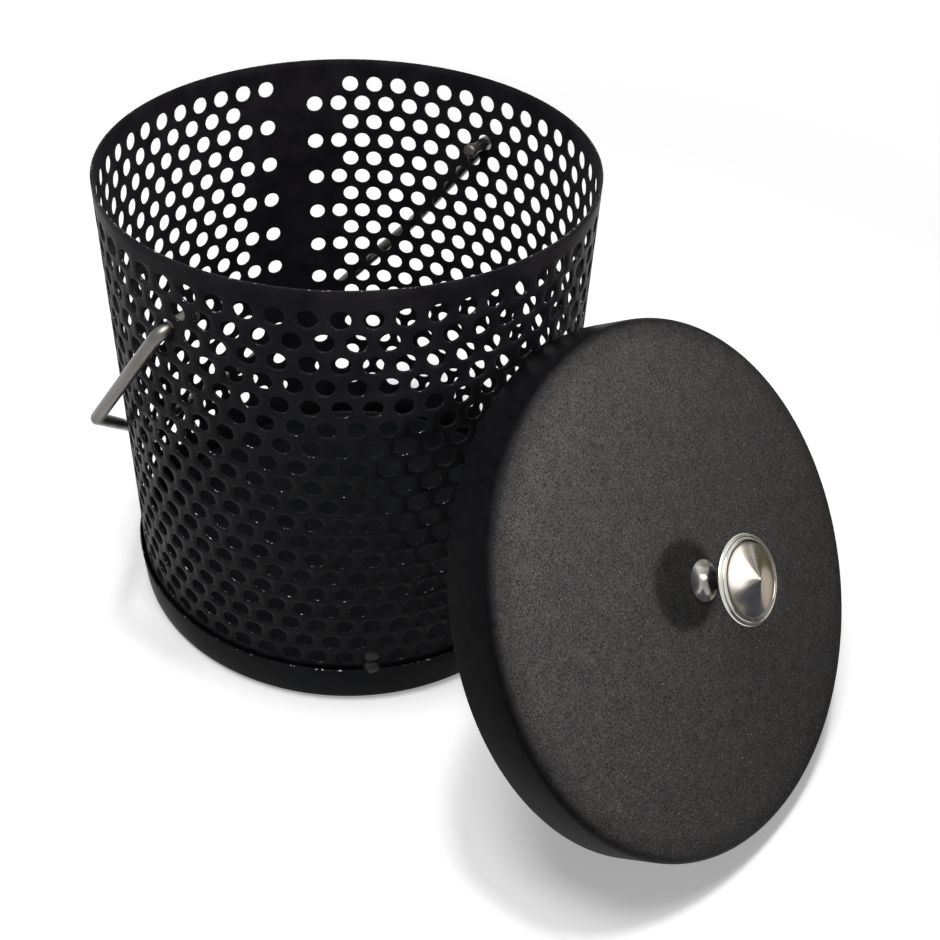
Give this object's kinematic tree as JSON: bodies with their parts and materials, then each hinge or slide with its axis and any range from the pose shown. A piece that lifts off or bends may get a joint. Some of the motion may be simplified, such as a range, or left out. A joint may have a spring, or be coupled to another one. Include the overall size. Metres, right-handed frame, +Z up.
{
  "type": "stovetop popcorn popper",
  "caption": "Perforated steel bucket on a pressed base pan, with a loose domed lid and turned knob leaning on it and a hinged wire bail for hanging it over a fire.",
  "frame": {"origin": "centre of the base pan on the surface it stands on", "axes": "+Z up along the bucket's axis; +Y towards the wall's seam at the back; +X to the right as seen from the front"},
  "size_m": [0.2716, 0.2662, 0.1757],
  "materials": {
    "wall_coating": "black heat-proof coating, satin, with bare edges in a few holes",
    "pan_coating": "smooth blue-black heat-proof coating, low sheen",
    "weld_metal": "plug weld blackened with the wall, bright only on its high spot",
    "lid_coating": "charcoal powder coat with a fine grain, black at its edge",
    "knob_nickel": "turned and satin nickel plated",
    "fixing_steel": "plain zinc plated steel",
    "bail_steel": "dark drawn steel rod, polished by handling"
  },
  "bodies": {
    "bucket": {"basket_wall": "wall_coating", "base_pan": "pan_coating", "wall_welds": "weld_metal"},
    "lid": {"lid_pan": "lid_coating", "lid_knob": "knob_nickel", "knob_washer": "fixing_steel", "knob_screw": "fixing_steel"},
    "bail": {"bail_handle": "bail_steel"}
  },
  "joints": [
    {"name": "lid_slide", "type": "slide", "parent": "bucket", "child": "lid", "axis": [0.757, -0.6534, 0], "range_m": [0, 0.06]},
    {"name": "bail_swing", "type": "hinge", "parent": "bucket", "child": "bail", "pos_m": [0.04931, 0.06825, 0.1498], "axis": [0.5961, 0.8029, 0], "range_deg": [0, 228]}
  ]
}
